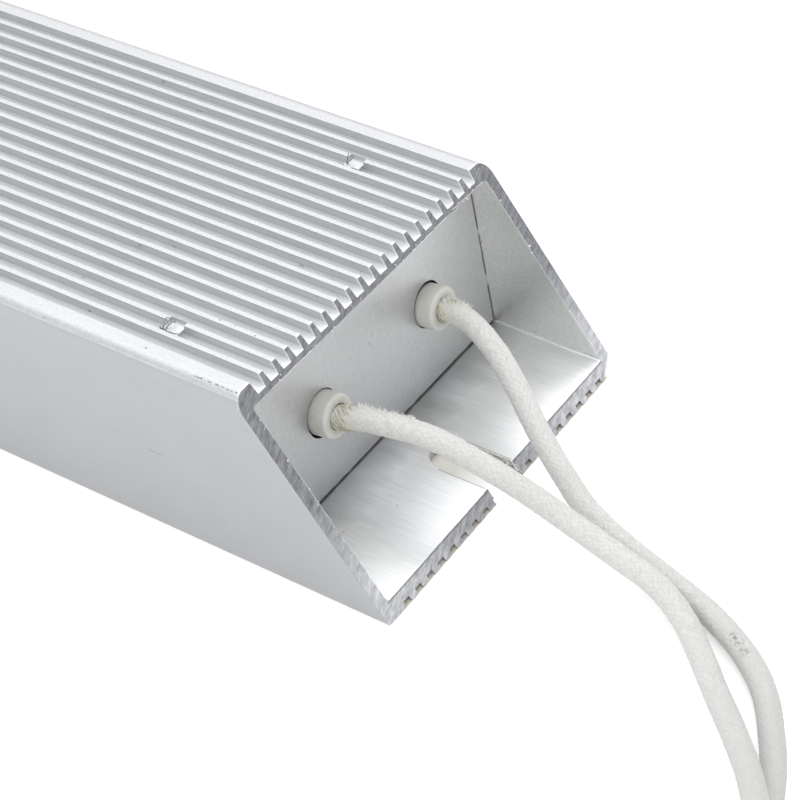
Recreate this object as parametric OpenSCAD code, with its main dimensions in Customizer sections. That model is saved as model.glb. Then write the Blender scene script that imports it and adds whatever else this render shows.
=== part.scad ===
// Aluminium housed power resistor with sawn, slotted mounting feet.
// Two wire-wound ceramic cores in series lie in an extruded, finned housing.
// +X points to the end with the leads, +Z is up, and the base lies on z = 0.

/* [Housing] */
// Length over the two mounting feet
body_length = 165; // [140:5:215]
// Width of the extruded profile
body_width = 60; // [58:0.5:66]
// Height of the extruded profile
body_height = 30; // [28:0.5:34]
// Length by which the foot reaches past the top edge at each sawn end
end_overhang = 22; // [19:0.5:26]
// Thickness of each side wall
side_wall = 2; // [1.6:0.1:2.6]
// Thickness of the base wall
floor_wall = 2.1; // [1.8:0.1:2.6]
// Thickness from the fin tips to the inner face of the top
top_wall = 2.2; // [2:0.1:2.8]
// Radius of the two upper edges
top_radius = 2.2; // [1:0.1:3]
// Radius of the two lower edges
base_radius = 0.4; // [0.2:0.1:0.8]
// Radius of the inner corners of the profile
inner_radius = 0.4; // [0.2:0.1:0.6]

/* [Fins and grooves] */
// Number of grooves across the top, and across the base
groove_count = 19; // [15:2:19]
// Distance between neighbouring grooves
groove_pitch = 2.8; // [2.6:0.05:3]
// Depth of a top groove
fin_height = 1.5; // [1:0.1:1.6]
// Width of a top groove at the fin tips
groove_mouth = 2; // [1.7:0.1:2.2]
// Width of a top groove at its floor
groove_floor = 1.6; // [1:0.1:1.8]
// Depth of a base groove
base_groove_depth = 0.7; // [0.5:0.1:1.2]
// Width of a base groove
base_groove_width = 1.4; // [1:0.1:1.8]

/* [Mounting feet] */
// Width of the open mounting slot in each foot
slot_width = 6.4; // [5.4:0.1:8]
// Depth of the mounting slot from the tip of the foot
slot_depth = 12.6; // [10:0.2:14]
// Length of the trimmed corner along the side of the front foot
corner_trim_length = 1.5; // [0.5:0.1:3]
// Length of the trimmed corner along the tip of the front foot
corner_trim_width = 4; // [1:0.5:6]

/* [Stake marks] */
// Distance of the stake marks behind the top edge
stake_setback = 15.6; // [12:0.2:18]
// Length of a stake mark along the fins
stake_length = 2.6; // [2:0.2:6]
// Depth of the staked metal below the fin tips
stake_depth = 0.5; // [0.3:0.1:0.8]
// Crack that stays open between the staked metal and the next fin
stake_crack = 0.2; // [0.1:0.05:0.3]

/* [End plates] */
// Thickness of the sheet of each end plate
plate_thickness = 1.2; // [1:0.1:1.6]
// Angle by which an end plate leans back from upright
plate_lean = 8; // [4:0.5:10]
// Distance of the lower edge of an end plate in front of the top edge
plate_foot = 2.2; // [1.5:0.1:3]
// Length of the flange that is staked under the top
flange_length = 20; // [17:0.5:24]
// Clearance of an end plate from the side walls
plate_side_gap = 0.2; // [0.1:0.05:0.3]
// Clearance of an end plate from the base wall
plate_base_gap = 0.25; // [0.15:0.05:0.35]

/* [Bushings] */
// Height of the two lead holes in the front plate
hole_height = 14.6; // [13:0.2:16]
// Distance between the two lead holes
hole_spacing = 26.3; // [24:0.5:28]
// Sideways shift of the pair of holes from the middle
hole_shift = 0.5; // [0:0.1:1]
// Outer diameter of a bushing
bushing_d = 6.5; // [6:0.1:7.5]
// Diameter of the shoulder behind the plate
shoulder_d = 9.4; // [8.8:0.1:11]
// Thickness of the shoulder behind the plate
shoulder_thickness = 2; // [1.4:0.1:2.6]
// Length of a bushing in front of the plate
bushing_reach = 2.8; // [2:0.1:4]
// Bore of a bushing
bushing_bore = 3.7; // [3.6:0.05:4.2]
// Radius of the front rim of a bushing
bushing_rim = 0.6; // [0.3:0.1:0.9]
// Radial clearance of a bushing in its plate hole
bushing_gap = 0.15; // [0.1:0.05:0.25]

/* [Cores] */
// Diameter of a ceramic core
core_d = 14; // [12:0.5:15]
// Bore of a ceramic core
core_bore = 5; // [3:0.5:7]
// Distance between the axes of the two cores
core_spacing = 26.3; // [24:0.5:28]
// Wall thickness of a contact cap
cap_wall = 0.6; // [0.4:0.1:0.8]
// Length of a contact cap
cap_length = 8; // [7:0.5:12]
// Width of one turn of resistance ribbon
ribbon_width = 3.4; // [2:0.2:4]
// Distance between neighbouring turns of ribbon
ribbon_pitch = 6; // [4.6:0.2:8]
// Thickness of the oxide coat that the ribbon is set in
coat_thickness = 0.2; // [0.1:0.05:0.3]

/* [Supports and insulation] */
// Distance from the top edge back to the outer face of a support
support_setback = 8; // [7.5:0.5:12]
// Thickness of a ceramic support
support_thickness = 6; // [4:0.5:7]
// Thickness of the web that closes the seat of a core
seat_web = 1.5; // [1:0.1:2]
// Diameter of the hole for the inner wire in that web
web_hole_d = 5; // [4:0.5:7]
// Thickness of a mica sheet
mica_thickness = 0.8; // [0.5:0.1:1]
// Clearance between the inner pieces
fit_gap = 0.1; // [0.05:0.05:0.15]
// Width of the series link between the two rear caps
link_width = 3; // [2:0.2:3.2]
// Thickness of the series link
link_thickness = 1; // [0.6:0.1:2]

/* [Leads] */
// Diameter of a braided lead
lead_d = 3.5; // [3:0.1:3.5]
// Diameter of the bare conductor inside the bushing
conductor_d = 1.8; // [1.2:0.1:2.2]
// Diameter of the splice at the bend of that conductor
splice_d = 2.6; // [2.4:0.1:3]
// Length of the splice
splice_length = 3; // [2:0.5:5]
// Depth at which the braid starts inside the bushing
lead_start_depth = 1.5; // [0.5:0.1:2]
// Outer diameter of the crimped barrel of a terminal
barrel_d = 3.6; // [3.2:0.1:3.7]
// Length of the crimped barrel
barrel_length = 6; // [5:0.5:8]
// Outer diameter of the ring of a terminal
ring_d = 8.4; // [7:0.2:10]
// Bore of the ring of a terminal
ring_bore = 4.3; // [3.2:0.1:5.3]
// Thickness of the ring
ring_thickness = 0.8; // [0.6:0.1:1]

/* [Hidden] */
$fn = 32;

// Margin by which a cut runs past the solid that it cuts
over = 1;

// Edge of the top at the front, and the end of the front foot
top_edge_x = body_length / 2 - end_overhang;
foot_x = body_length / 2;

// Cavity of the profile
cavity_width = body_width - 2 * side_wall;
cavity_top = body_height - top_wall;

// Stack of flat pieces above and below the cores
flange_bottom = cavity_top - plate_thickness;
block_bottom = floor_wall + mica_thickness;
block_top = flange_bottom - mica_thickness;
core_z = (block_bottom + block_top) / 2;

// Places along X, for the front end
support_face_x = top_edge_x - support_setback;
support_back_x = support_face_x - support_thickness;
cap_end_x = support_face_x - seat_web;
cap_mouth_x = cap_end_x - cap_length;
core_end_x = cap_end_x - cap_wall;
flange_end_x = plate_front_x(cavity_top) - flange_length;

// Diameter over a cap, which the winding is flush with
cap_d = core_d + 2 * cap_wall;

// Sides: left is -Y, right is +Y
left = -1;
right = 1;

// Grooves, counted from the left, that the two stake marks close
stake_grooves = [1, groove_count - 3];

// Front face of the front plate at height z
function plate_front_x(z) = top_edge_x + plate_foot - (z - floor_wall) * tan(plate_lean);

// Sideways place of the lead hole on one side
function hole_y(side) = side * hole_spacing / 2 + hole_shift;

// Sideways place of groove i
function groove_y(i) = (i - (groove_count - 1) / 2) * groove_pitch;

// Middle of the lead hole on the front face of the plate, and the direction it faces
function hole_centre(side) = [plate_front_x(hole_height), hole_y(side), hole_height];
hole_axis = [cos(plate_lean), 0, sin(plate_lean)];

// Point on a bushing's axis, at a distance in front of the plate
function on_axis(side, distance) = hole_centre(side) + distance * hole_axis;

// Point behind the bushing's shoulder where the inner wire bends to run along X
function wire_bend(side) = on_axis(side, -plate_thickness - shoulder_thickness);

// Height of the middle of a lead, and of its terminal, where they lie on the surface
rest_z = max(lead_d, barrel_d) / 2;

// Routes of the two leads, measured from the top edge, after the start in the bushing
lead_left_route = [
    [8, -11.5, 15.4], [15.5, -9.5, 14.5], [22.5, -8, 11.8], [29, -7, 8.9], [35.5, -6.8, 6.4],
    [42.8, -7.6, 4.8], [49.8, -9, 4], [55.4, -11.8, 3.2], [60, -15.7, 2.6], [65.4, -21.1, 2.8],
    [70.4, -26.3, 3.8], [74.9, -31.6, 5.1], [79.2, -37.6, 5.8], [83.3, -44, 4.6], [86.4, -51, 2.9],
    [87.6, -58.5, rest_z], [86, -66, rest_z], [82, -72.5, rest_z], [76, -77, rest_z],
    [69.5, -80, rest_z], [65.5, -81.3, rest_z]];
lead_right_route = [
    [7.8, 13.1, 14.9], [13.5, 11, 13.2], [18.9, 8, 10.6], [24, 4.8, 7.9], [29.2, 1.9, 5.6],
    [35.3, -1.2, 3.5], [42.5, -3.5, 2.3], [49.5, -5.5, rest_z], [57, -8.1, rest_z],
    [64, -11.8, rest_z], [69.4, -16.5, rest_z], [73.2, -22, rest_z], [76.5, -28.2, rest_z],
    [78.8, -35.2, rest_z], [78.8, -42.6, rest_z], [76.6, -49.8, rest_z], [72.2, -56, rest_z],
    [66, -60.6, rest_z], [59, -63.8, rest_z], [51.5, -66, rest_z], [45.8, -67.2, rest_z]];

function lead_points(side) = concat(
    [on_axis(side, bushing_reach - lead_start_depth), on_axis(side, bushing_reach)],
    [for (p = (side == left ? lead_left_route : lead_right_route)) p + [top_edge_x, 0, 0]]);

// Profile cross-section: 2D x is Y, 2D y is Z
module rounded_outline(width, bottom, top, low_radius, high_radius) {
    middle = (bottom + top) / 2;
    translate([-width / 2, bottom + low_radius])
        square([width, top - bottom - low_radius - high_radius]);
    translate([-width / 2 + high_radius, middle])
        square([width - 2 * high_radius, top - middle]);
    translate([-width / 2 + low_radius, bottom])
        square([width - 2 * low_radius, middle - bottom]);
    for (side = [left, right]) {
        translate([side * (width / 2 - high_radius), top - high_radius])
            circle(r = high_radius);
        translate([side * (width / 2 - low_radius), bottom + low_radius])
            circle(r = low_radius);
    }
}

module cavity_outline() {
    rounded_outline(cavity_width, floor_wall, cavity_top, inner_radius, inner_radius);
}

module top_groove() {
    polygon([
        [-groove_floor / 2, body_height - fin_height],
        [groove_floor / 2, body_height - fin_height],
        [groove_mouth / 2, body_height],
        [groove_mouth / 2, body_height + over],
        [-groove_mouth / 2, body_height + over],
        [-groove_mouth / 2, body_height]]);
}

module base_groove() {
    translate([-base_groove_width / 2, -over])
        square([base_groove_width, over + base_groove_depth]);
}

module housing_outline() {
    difference() {
        rounded_outline(body_width, 0, body_height, base_radius, top_radius);
        cavity_outline();
        for (i = [0 : groove_count - 1]) translate([groove_y(i), 0]) {
            top_groove();
            base_groove();
        }
    }
}

// Extrudes a cross-section along X between two places
module along_x(from, to) {
    translate([from, 0, 0]) rotate([90, 0, 90]) linear_extrude(to - from) children();
}

// Extrudes a side view, with 2D x as X and 2D y as Z, evenly about the middle
module across_y(width) {
    rotate([90, 0, 0]) linear_extrude(width, center = true) children();
}

module at_both_ends() {
    children();
    mirror([1, 0, 0]) children();
}

// Everything in front of the sloping saw cut of the front end
module sawn_off() {
    slope = end_overhang / body_height;
    across_y(body_width + 2 * over) polygon([
        [foot_x + slope * over, -over],
        [foot_x + end_overhang, -over],
        [foot_x + end_overhang, body_height + over],
        [top_edge_x - slope * over, body_height + over]]);
}

module mounting_slot() {
    centre_x = foot_x - slot_depth + slot_width / 2;
    translate([centre_x, 0, -over]) {
        cylinder(h = floor_wall + 2 * over, d = slot_width);
        translate([0, -slot_width / 2, 0])
            cube([slot_depth, slot_width, floor_wall + 2 * over]);
    }
}

// Corner trimmed off the front foot on its right side
module trimmed_corner() {
    translate([0, 0, -over]) linear_extrude(floor_wall + over + end_overhang / 2) polygon([
        [foot_x, body_width / 2 - corner_trim_width],
        [foot_x + over, body_width / 2 - corner_trim_width],
        [foot_x + over, body_width / 2 + over],
        [foot_x - corner_trim_length, body_width / 2 + over],
        [foot_x - corner_trim_length, body_width / 2]]);
}

// Place of one stake mark, which closes a groove and sinks the fin on its right
module at_stakes() {
    for (i = stake_grooves)
        translate([top_edge_x - stake_setback, groove_y(i) - groove_mouth / 2, 0]) children();
}

module housing() {
    staked_z = body_height - stake_depth;
    groove_root_z = body_height - fin_height;
    color("#c9ccd0") difference() {
        union() {
            along_x(-foot_x, foot_x) housing_outline();
            at_both_ends() at_stakes()
                translate([-stake_length / 2, stake_crack, groove_root_z - over / 2])
                    cube([stake_length, groove_pitch - stake_crack,
                        staked_z - groove_root_z + over / 2]);
        }
        at_both_ends() {
            sawn_off();
            mounting_slot();
            at_stakes() translate([-stake_length / 2, 0, staked_z])
                cube([stake_length, groove_pitch, over + stake_depth]);
        }
        trimmed_corner();
    }
}

// Side view of an end plate with its staked flange, for the front end
module plate_outline() {
    back = plate_thickness / cos(plate_lean);
    low = floor_wall + plate_base_gap;
    polygon([
        [plate_front_x(low), low],
        [plate_front_x(cavity_top), cavity_top],
        [flange_end_x, cavity_top],
        [flange_end_x, flange_bottom],
        [plate_front_x(flange_bottom) - back, flange_bottom],
        [plate_front_x(low) - back, low]]);
}

module end_plate() {
    along_x_width = cavity_width - 2 * plate_side_gap;
    intersection() {
        across_y(along_x_width) plate_outline();
        along_x(0, foot_x) cavity_outline();
    }
}

// Places children on a bushing's axis, with their z = 0 on the plate's front face
module at_hole(side) {
    translate(hole_centre(side)) rotate([0, 90 - plate_lean, 0]) children();
}

module front_plate() {
    color("#a9adb0") difference() {
        end_plate();
        for (side = [left, right]) at_hole(side)
            translate([0, 0, -plate_thickness - over])
                cylinder(h = plate_thickness + 2 * over, d = bushing_d + 2 * bushing_gap);
    }
}

module rear_plate() {
    color("#a9adb0") mirror([1, 0, 0]) end_plate();
}

module bushing(side) {
    back = -plate_thickness - shoulder_thickness;
    color("#dfe0d8") at_hole(side) rotate_extrude() difference() {
        union() {
            translate([0, back]) square([shoulder_d / 2, shoulder_thickness]);
            translate([0, back])
                square([bushing_d / 2, bushing_reach - bushing_rim - back]);
            square([bushing_d / 2 - bushing_rim, bushing_reach]);
            translate([bushing_d / 2 - bushing_rim, bushing_reach - bushing_rim])
                circle(r = bushing_rim);
        }
        translate([-over, back - over]) square([over + bushing_bore / 2, bushing_reach - back + 2 * over]);
    }
}

// Cross-section of a block that fills the width between the mica side sheets
block_width = cavity_width - 2 * mica_thickness - 2 * fit_gap;

module block_outline() {
    translate([-block_width / 2, block_bottom]) square([block_width, block_top - block_bottom]);
}

module core_axis_holes(from, to, diameter) {
    for (side = [left, right]) along_x(from, to)
        translate([side * core_spacing / 2, core_z]) circle(d = diameter);
}

// Ceramic support with a seat for the capped end of each core
module support() {
    difference() {
        along_x(support_back_x, support_face_x) block_outline();
        core_axis_holes(support_back_x - over, cap_end_x, cap_d + 2 * fit_gap);
    }
}

module front_support() {
    color("#d8cfc0") difference() {
        support();
        for (side = [left, right]) along_x(cap_end_x - over, support_face_x + over)
            translate([hole_y(side), wire_bend(side)[2]]) circle(d = web_hole_d);
    }
}

module rear_support() {
    color("#d8cfc0") mirror([1, 0, 0]) support();
}

module on_core(side) {
    translate([0, side * core_spacing / 2, core_z]) rotate([0, 90, 0]) children();
}

module core(side) {
    color("#ece7dc") on_core(side) difference() {
        cylinder(h = 2 * core_end_x, d = core_d, center = true);
        cylinder(h = 2 * core_end_x + over, d = core_bore, center = true);
    }
}

// Ribbon turns on a thin coat, flush with the caps and welded to their mouths
module winding(side) {
    length = 2 * cap_mouth_x;
    turns = floor((length - ribbon_width) / ribbon_pitch);
    first = -(turns - 1) / 2 * ribbon_pitch;
    color("#8a8378") on_core(side) rotate_extrude() {
        translate([core_d / 2, -length / 2]) square([coat_thickness, length]);
        for (end = [-1, 1])
            translate([core_d / 2, end * (length - ribbon_width) / 2 - ribbon_width / 2])
                square([cap_wall, ribbon_width]);
        for (i = [1 : turns - 2])
            translate([core_d / 2, first + i * ribbon_pitch - ribbon_width / 2])
                square([cap_wall, ribbon_width]);
    }
}

// Pressed steel cup on the front end of a core
module cap(side) {
    color("#9a9da0") translate([cap_mouth_x, 0, 0]) on_core(side) rotate_extrude() difference() {
        square([cap_d / 2, cap_length]);
        translate([-over, -over]) square([core_d / 2 + over, cap_length - cap_wall + over]);
    }
}

module rear_cap(side) {
    mirror([1, 0, 0]) cap(side);
}

// Strip that joins the two rear caps, between their facing sides
module series_link() {
    middle_x = -(support_back_x + cap_mouth_x) / 2;
    color("#9a9da0") difference() {
        translate([middle_x - link_width / 2, -core_spacing / 2, core_z - link_thickness / 2])
            cube([link_width, core_spacing, link_thickness]);
        core_axis_holes(middle_x - link_width, middle_x + link_width, cap_d);
    }
}

// Cylinder along X that starts a third of the splice in front of the wire's bend
module behind_bend(side, length, diameter) {
    translate(wire_bend(side) + [splice_length / 3, 0, 0]) rotate([0, -90, 0])
        cylinder(h = length, d = diameter);
}

// Bare conductor from the start of the braid, through a splice, to the end of the front cap
module inner_wire(side) {
    bend = wire_bend(side);
    straight = norm(on_axis(side, bushing_reach - lead_start_depth) - bend);
    color("#c8794a") {
        translate(bend) rotate([0, 90 - plate_lean, 0]) cylinder(h = straight, d = conductor_d);
        behind_bend(side, splice_length, splice_d);
        translate(bend) rotate([0, -90, 0]) cylinder(h = bend[0] - cap_end_x, d = conductor_d);
    }
}

module mica_sheet(width, bottom) {
    translate([-support_face_x, -width / 2, bottom])
        cube([2 * support_face_x, width, mica_thickness]);
}

// Flat sheets end short of the rounded inner corners
module mica_base() {
    color("#b9a988") mica_sheet(cavity_width - 2 * (inner_radius + fit_gap), floor_wall);
}

module mica_top() {
    color("#b9a988") mica_sheet(cavity_width - 2 * (inner_radius + fit_gap), block_top);
}

module mica_side(side) {
    middle_y = side * (cavity_width - mica_thickness - fit_gap) / 2;
    color("#b9a988") translate([-support_face_x, middle_y - mica_thickness / 2, block_bottom])
        cube([2 * support_face_x, mica_thickness, block_top - block_bottom]);
}

// Sheet that fills the space between the flanges of the two end plates
module top_packing() {
    length = 2 * (flange_end_x - fit_gap);
    width = cavity_width - 2 * (inner_radius + fit_gap);
    color("#cfc7b4") translate([-length / 2, -width / 2, flange_bottom])
        cube([length, width, plate_thickness]);
}

// Cement behind the front end plate, cast round what passes through it
module end_cement() {
    back = plate_thickness / cos(plate_lean);
    intersection() {
        across_y(cavity_width - 2 * fit_gap) polygon([
            [support_face_x, floor_wall],
            [plate_front_x(floor_wall) - back, floor_wall],
            [plate_front_x(flange_bottom) - back, flange_bottom],
            [support_face_x, flange_bottom]]);
        along_x(0, foot_x) cavity_outline();
    }
}

module front_cement() {
    color("#bdbab2") difference() {
        end_cement();
        for (side = [left, right]) {
            at_hole(side) translate([0, 0, -plate_thickness - shoulder_thickness])
                cylinder(h = shoulder_thickness + over, d = shoulder_d + 2 * fit_gap);
            behind_bend(side, end_overhang, splice_d + 2 * fit_gap);
        }
    }
}

module rear_cement() {
    color("#bdbab2") mirror([1, 0, 0]) end_cement();
}

// Packed sand between the supports, with a channel for each core and for the link
module sand_filling() {
    color("#d9cfa8") difference() {
        along_x(-support_back_x, support_back_x) block_outline();
        core_axis_holes(-support_back_x - over, support_back_x + over, cap_d + 2 * fit_gap);
        translate([-support_back_x - over, -core_spacing / 2, core_z - link_thickness / 2 - fit_gap])
            cube([support_back_x - cap_mouth_x + over + fit_gap, core_spacing,
                link_thickness + 2 * fit_gap]);
    }
}

// Cord swept through its own points, with one ring of corners at each point
lead_sides = 8;

function unit(v) = v / norm(v);

function tangent(points, i) = let(last = len(points) - 1)
    unit(points[min(i + 1, last)] - points[max(i - 1, 0)]);

function ring(points, i) = let(
    t = tangent(points, i),
    across = unit(cross([0, 0, 1], t)),
    up = cross(t, across))
    [for (k = [0 : lead_sides - 1]) let(a = 360 * (k + 0.5) / lead_sides)
        points[i] + lead_d / 2 * (cos(a) * across + sin(a) * up)];

module lead(side) {
    points = lead_points(side);
    last = len(points) - 1;
    corners = [for (i = [0 : last]) each ring(points, i)];
    walls = [for (i = [0 : last - 1]) for (k = [0 : lead_sides - 1]) let(n = (k + 1) % lead_sides)
        [i * lead_sides + k, (i + 1) * lead_sides + k, (i + 1) * lead_sides + n, i * lead_sides + n]];
    start_face = [for (k = [0 : lead_sides - 1]) k];
    end_face = [for (k = [lead_sides - 1 : -1 : 0]) last * lead_sides + k];
    color("#e9e8e2") polyhedron(points = corners, faces = concat(walls, [start_face], [end_face]));
}

// Crimped ring terminal that lies flat, with its barrel in line with the end of the lead
module terminal(side) {
    points = lead_points(side);
    end = points[len(points) - 1];
    direction = tangent(points, len(points) - 1);
    ring_x = barrel_length + ring_d / 2;
    color("#cfcbc2") translate([end[0], end[1], end[2]])
        rotate([0, 0, atan2(direction[1], direction[0])]) {
            rotate([0, 90, 0]) cylinder(h = barrel_length, d = barrel_d);
            translate([0, 0, -barrel_d / 2]) difference() {
                union() {
                    translate([ring_x, 0, 0]) cylinder(h = ring_thickness, d = ring_d);
                    translate([barrel_length - 1, -barrel_d / 2, 0])
                        cube([ring_d / 2 + 1, barrel_d, ring_thickness]);
                }
                translate([ring_x, 0, -over])
                    cylinder(h = ring_thickness + 2 * over, d = ring_bore);
            }
        }
}

housing();
front_plate();
rear_plate();
bushing(left);  // bushing_left
bushing(right);  // bushing_right
front_support();
rear_support();
core(left);  // core_left
core(right);  // core_right
winding(left);  // winding_left
winding(right);  // winding_right
cap(left);  // cap_left_front
rear_cap(left);  // cap_left_rear
cap(right);  // cap_right_front
rear_cap(right);  // cap_right_rear
series_link();
inner_wire(left);  // inner_wire_left
inner_wire(right);  // inner_wire_right
mica_base();
mica_top();
mica_side(left);  // mica_left
mica_side(right);  // mica_right
top_packing();
front_cement();
rear_cement();
sand_filling();
lead(left);  // lead_left
lead(right);  // lead_right
terminal(left);  // terminal_left
terminal(right);  // terminal_right
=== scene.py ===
"""Looks of an aluminium housed power resistor, dressed over its CAD part."""

import math
import random

import bmesh
import bpy
from mathutils import Euler, Matrix, Vector, noise

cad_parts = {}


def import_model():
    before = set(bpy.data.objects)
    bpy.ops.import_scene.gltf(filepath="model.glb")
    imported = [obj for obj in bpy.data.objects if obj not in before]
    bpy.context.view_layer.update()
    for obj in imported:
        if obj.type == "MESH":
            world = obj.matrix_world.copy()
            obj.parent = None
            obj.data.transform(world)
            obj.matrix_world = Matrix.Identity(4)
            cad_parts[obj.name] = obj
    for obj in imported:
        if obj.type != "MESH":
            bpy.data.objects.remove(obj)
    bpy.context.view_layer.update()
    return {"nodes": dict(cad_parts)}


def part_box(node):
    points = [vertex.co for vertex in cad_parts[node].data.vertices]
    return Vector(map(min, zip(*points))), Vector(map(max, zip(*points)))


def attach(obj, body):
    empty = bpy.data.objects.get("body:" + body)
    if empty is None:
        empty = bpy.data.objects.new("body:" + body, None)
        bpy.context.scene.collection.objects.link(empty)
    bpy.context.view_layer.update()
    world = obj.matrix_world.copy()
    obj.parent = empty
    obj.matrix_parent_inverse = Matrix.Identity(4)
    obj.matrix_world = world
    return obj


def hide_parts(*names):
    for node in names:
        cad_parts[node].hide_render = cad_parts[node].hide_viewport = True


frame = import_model()

MM = 0.001

# Sizes of the housing; its length, height and width are read from the part
housing_low, housing_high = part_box("housing")
FOOT_X = housing_high.x
HEIGHT = housing_high.z
HALF_WIDTH = housing_high.y
END_OVERHANG = 22 * MM
TOP_EDGE_X = FOOT_X - END_OVERHANG
FLOOR_WALL = 2.1 * MM
SIDE_WALL = 2 * MM
TOP_WALL = 2.2 * MM
GROOVE_PITCH = 2.8 * MM
GROOVE_COUNT = 19
GROOVE_MOUTH = 2 * MM
FIN_HEIGHT = 1.5 * MM
SLOT_WIDTH = 6.4 * MM
STAKE_X = TOP_EDGE_X - 15.6 * MM
STAKE_LENGTH = 2.6 * MM
STAKE_DEPTH = 0.5 * MM
STAKE_GROOVES = (1, GROOVE_COUNT - 3)
SLOPE = Vector((HEIGHT, 0, END_OVERHANG)).normalized()

# End plate and bushings
PLATE_LEAN = math.radians(8)
PLATE_THICKNESS = 1.2 * MM
PLATE_FOOT = 2.2 * MM
SIDE_SEAM = 0.2 * MM
FOOT_SEAM = 0.2 * MM
HOLE_EDGE = 3.8 * MM
HOLE_GAP = 0.35 * MM
HOLE_HEIGHT = 14.6 * MM
HOLE_SPACING = 26.3 * MM
HOLE_SHIFT = 0.5 * MM
BUSHING_RADIUS = 3.25 * MM
BUSHING_BORE_RADIUS = 1.85 * MM
BUSHING_REACH = 2.8 * MM
SHOULDER_RADIUS = 4.7 * MM
SHOULDER_THICKNESS = 2 * MM

# Leads and terminals
LEAD_LENGTH = 150 * MM
LEAD_DIAMETER = 3.5 * MM
LEAD_START_DEPTH = 1.5 * MM
PATH_STEP = 0.2 * MM
REST_Z = 1.8 * MM
BARREL_RADIUS = 1.8 * MM
BARREL_BORE_RADIUS = 1.25 * MM
WIRE_RADIUS = 0.33 * MM
WIRE_CIRCLE_RADIUS = 0.68 * MM
OUTER_WIRES = 6
BARREL_LENGTH = 6 * MM
CRIMP_X = 2.8 * MM
CRIMP_SPAN = 1.5 * MM
CRIMP_DEPTH = 0.42 * MM
RING_RADIUS = 4.2 * MM
RING_BORE_RADIUS = 2.15 * MM
RING_THICKNESS = 0.8 * MM

# Routes of the leads in front of the bushings, measured from the top edge, in millimetres
LEFT_ROUTE = [
    (8, -11.5, 15.4), (15.5, -9.5, 14.5), (22.5, -8, 11.8), (29, -7, 8.9), (35.5, -6.8, 6.4),
    (42.8, -7.6, 4.8), (49.8, -9, 4), (55.4, -11.8, 3.2), (60, -15.7, 2.6), (65.4, -21.1, 2.8),
    (70.4, -26.3, 3.8), (74.9, -31.6, 5.1), (79.2, -37.6, 5.8), (83.3, -44, 4.6), (86.4, -51, 2.9),
    (87.6, -58.5, 1.8), (86, -66, 1.8), (82, -72.5, 1.8), (76, -77, 1.8),
    (69.5, -80, 1.8), (65.5, -81.3, 1.8),
]
RIGHT_ROUTE = [
    (7.8, 13.1, 14.9), (13.5, 11, 13.2), (18.9, 8, 10.6), (24, 4.8, 7.9), (29.2, 1.9, 5.6),
    (35.3, -1.2, 3.5), (42.5, -3.5, 2.3), (49.5, -5.5, 1.8), (57, -8.1, 1.8),
    (64, -11.8, 1.8), (69.4, -16.5, 1.8), (73.2, -22, 1.8), (76.5, -28.2, 1.8),
    (78.8, -35.2, 1.8), (78.8, -42.6, 1.8), (76.6, -49.8, 1.8), (72.2, -56, 1.8),
    (66, -60.6, 1.8), (59, -63.8, 1.8), (51.5, -66, 1.8), (45.8, -67.2, 1.8),
]


# ---------------------------------------------------------------- places


def plate_front_x(z):
    """Front face of the front plate at height z."""
    return TOP_EDGE_X + PLATE_FOOT - (z - FLOOR_WALL) * math.tan(PLATE_LEAN)


def hole_frame(side):
    """Matrix whose origin is a lead hole's middle on the plate, with Z out of the plate."""
    place = Vector((plate_front_x(HOLE_HEIGHT), side * HOLE_SPACING / 2 + HOLE_SHIFT, HOLE_HEIGHT))
    return Matrix.Translation(place) @ Matrix.Rotation(math.pi / 2 - PLATE_LEAN, 4, "Y")


def lead_route(side):
    """Chosen points of one lead, from inside its bushing to its terminal."""
    exit_frame = hole_frame(side)
    start = [exit_frame @ Vector((0, 0, BUSHING_REACH - LEAD_START_DEPTH)),
             exit_frame @ Vector((0, 0, BUSHING_REACH))]
    chosen = LEFT_ROUTE if side < 0 else RIGHT_ROUTE
    return start + [Vector(p) * MM + Vector((TOP_EDGE_X, 0, 0)) for p in chosen]


def smooth_path(points, step):
    """Evenly spaced points on one smooth curve through the chosen ones."""
    dense = []
    for i in range(len(points) - 1):
        before = points[max(i - 1, 0)]
        here, there = points[i], points[i + 1]
        after = points[min(i + 2, len(points) - 1)]
        for k in range(24):
            t = k / 24
            dense.append(0.5 * (2 * here + (there - before) * t
                                + (2 * before - 5 * here + 4 * there - after) * t * t
                                + (3 * here - before - 3 * there + after) * t ** 3))
    dense.append(points[-1])
    lengths = [0.0]
    for a, b in zip(dense, dense[1:]):
        lengths.append(lengths[-1] + (b - a).length)
    count = round(lengths[-1] / step)
    path, j = [], 0
    for i in range(count + 1):
        target = lengths[-1] * i / count
        while j < len(dense) - 2 and lengths[j + 1] < target:
            j += 1
        share = (target - lengths[j]) / (lengths[j + 1] - lengths[j])
        path.append(dense[j].lerp(dense[j + 1], share))
    return path


def path_frames(path):
    """(point, tangent, side, up) along a path, without twist about it."""
    tangents = []
    for i in range(len(path)):
        tangents.append((path[min(i + 1, len(path) - 1)] - path[max(i - 1, 0)]).normalized())
    side = Vector((0, 0, 1)).cross(tangents[0]).normalized()
    frames = []
    for point, tangent in zip(path, tangents):
        side = (side - tangent * side.dot(tangent)).normalized()
        frames.append((point, tangent, side, tangent.cross(side)))
    return frames


# ---------------------------------------------------------------- shader building

# Saw cuts run down towards the left at this angle; the face is this much longer than its height
SAW_HATCH_ANGLE = math.radians(28)
SAW_FACE_STRETCH = 1.24

# Braid of the sleeve: strands each way, length of a crossing, height of a ridge, mesh steps round it
WEAVE_CARRIERS = 12
WEAVE_LAY = 1.1 * MM
WEAVE_RELIEF = 0.1 * MM
SLEEVE_STEPS = 96


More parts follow.
